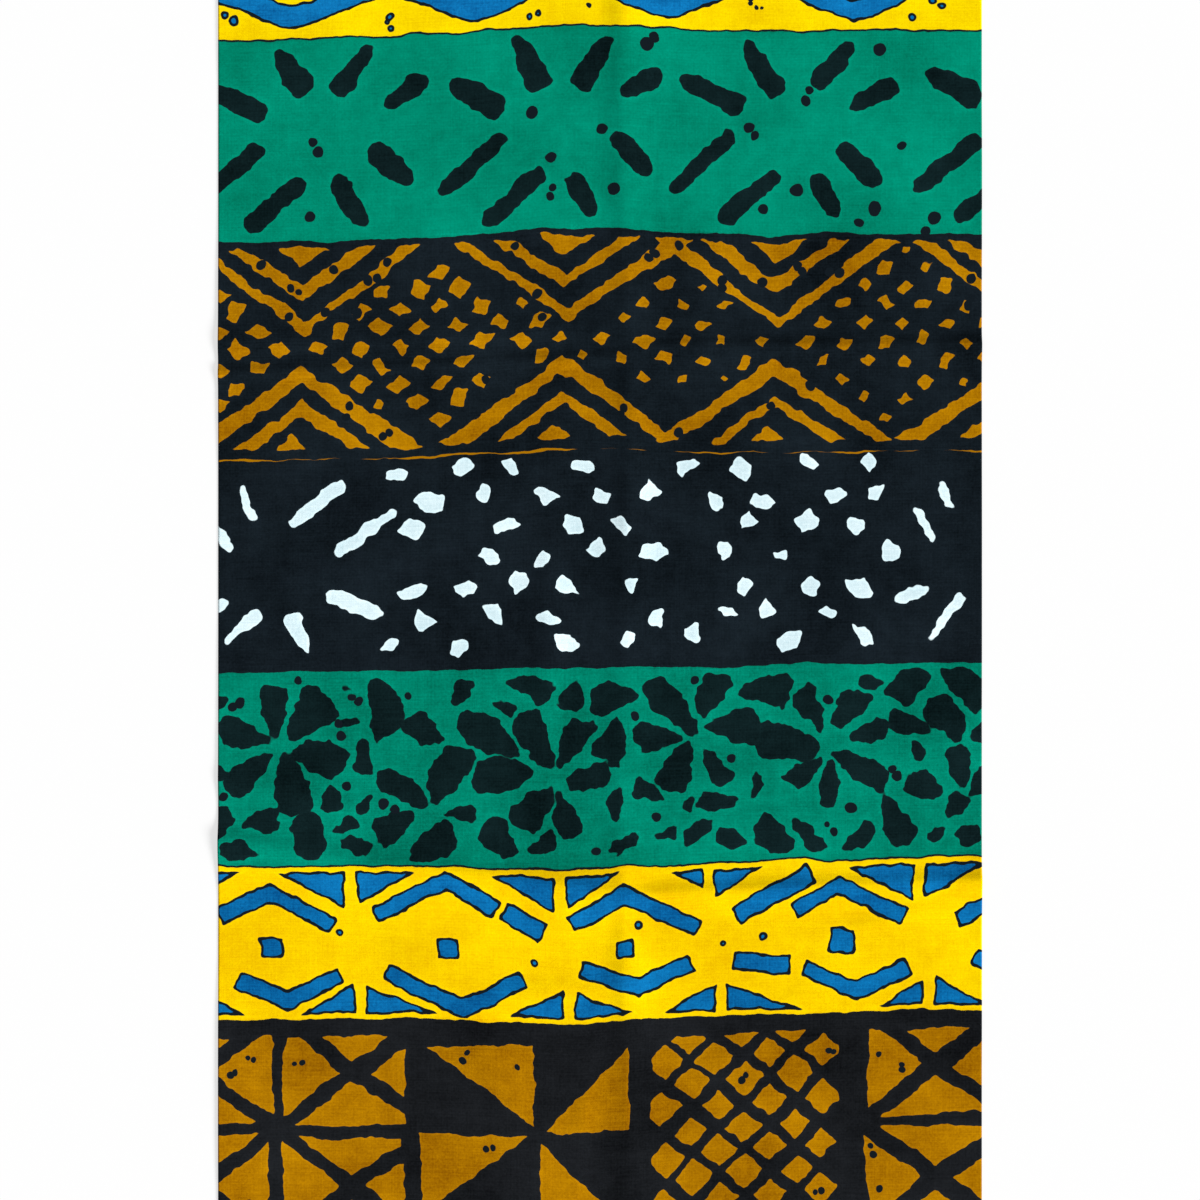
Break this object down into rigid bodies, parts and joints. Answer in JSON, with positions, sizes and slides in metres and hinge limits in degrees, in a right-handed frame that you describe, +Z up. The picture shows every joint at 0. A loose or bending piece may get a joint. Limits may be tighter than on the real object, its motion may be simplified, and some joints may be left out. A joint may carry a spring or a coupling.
{
  "type": "african wax print fabric",
  "caption": "Cut length of wax-printed cotton cloth with bands of geometric motifs in black, green, ochre, white, yellow and blue, lying opened out flat with soft storage folds.",
  "frame": {"origin": "on the surface that the cloth lies on, under the middle of its outline", "axes": "+X along the print's bands, from one cut side to the other, +Y across the bands from selvedge to selvedge, towards the top of the picture, +Z up from the surface"},
  "size_m": [0.469, 1.168, 0.0089],
  "materials": {
    "printed_cotton": "matt printed cotton with a faint calendered sheen"
  },
  "bodies": {
    "root": {"cloth": "printed_cotton"}
  },
  "joints": []
}
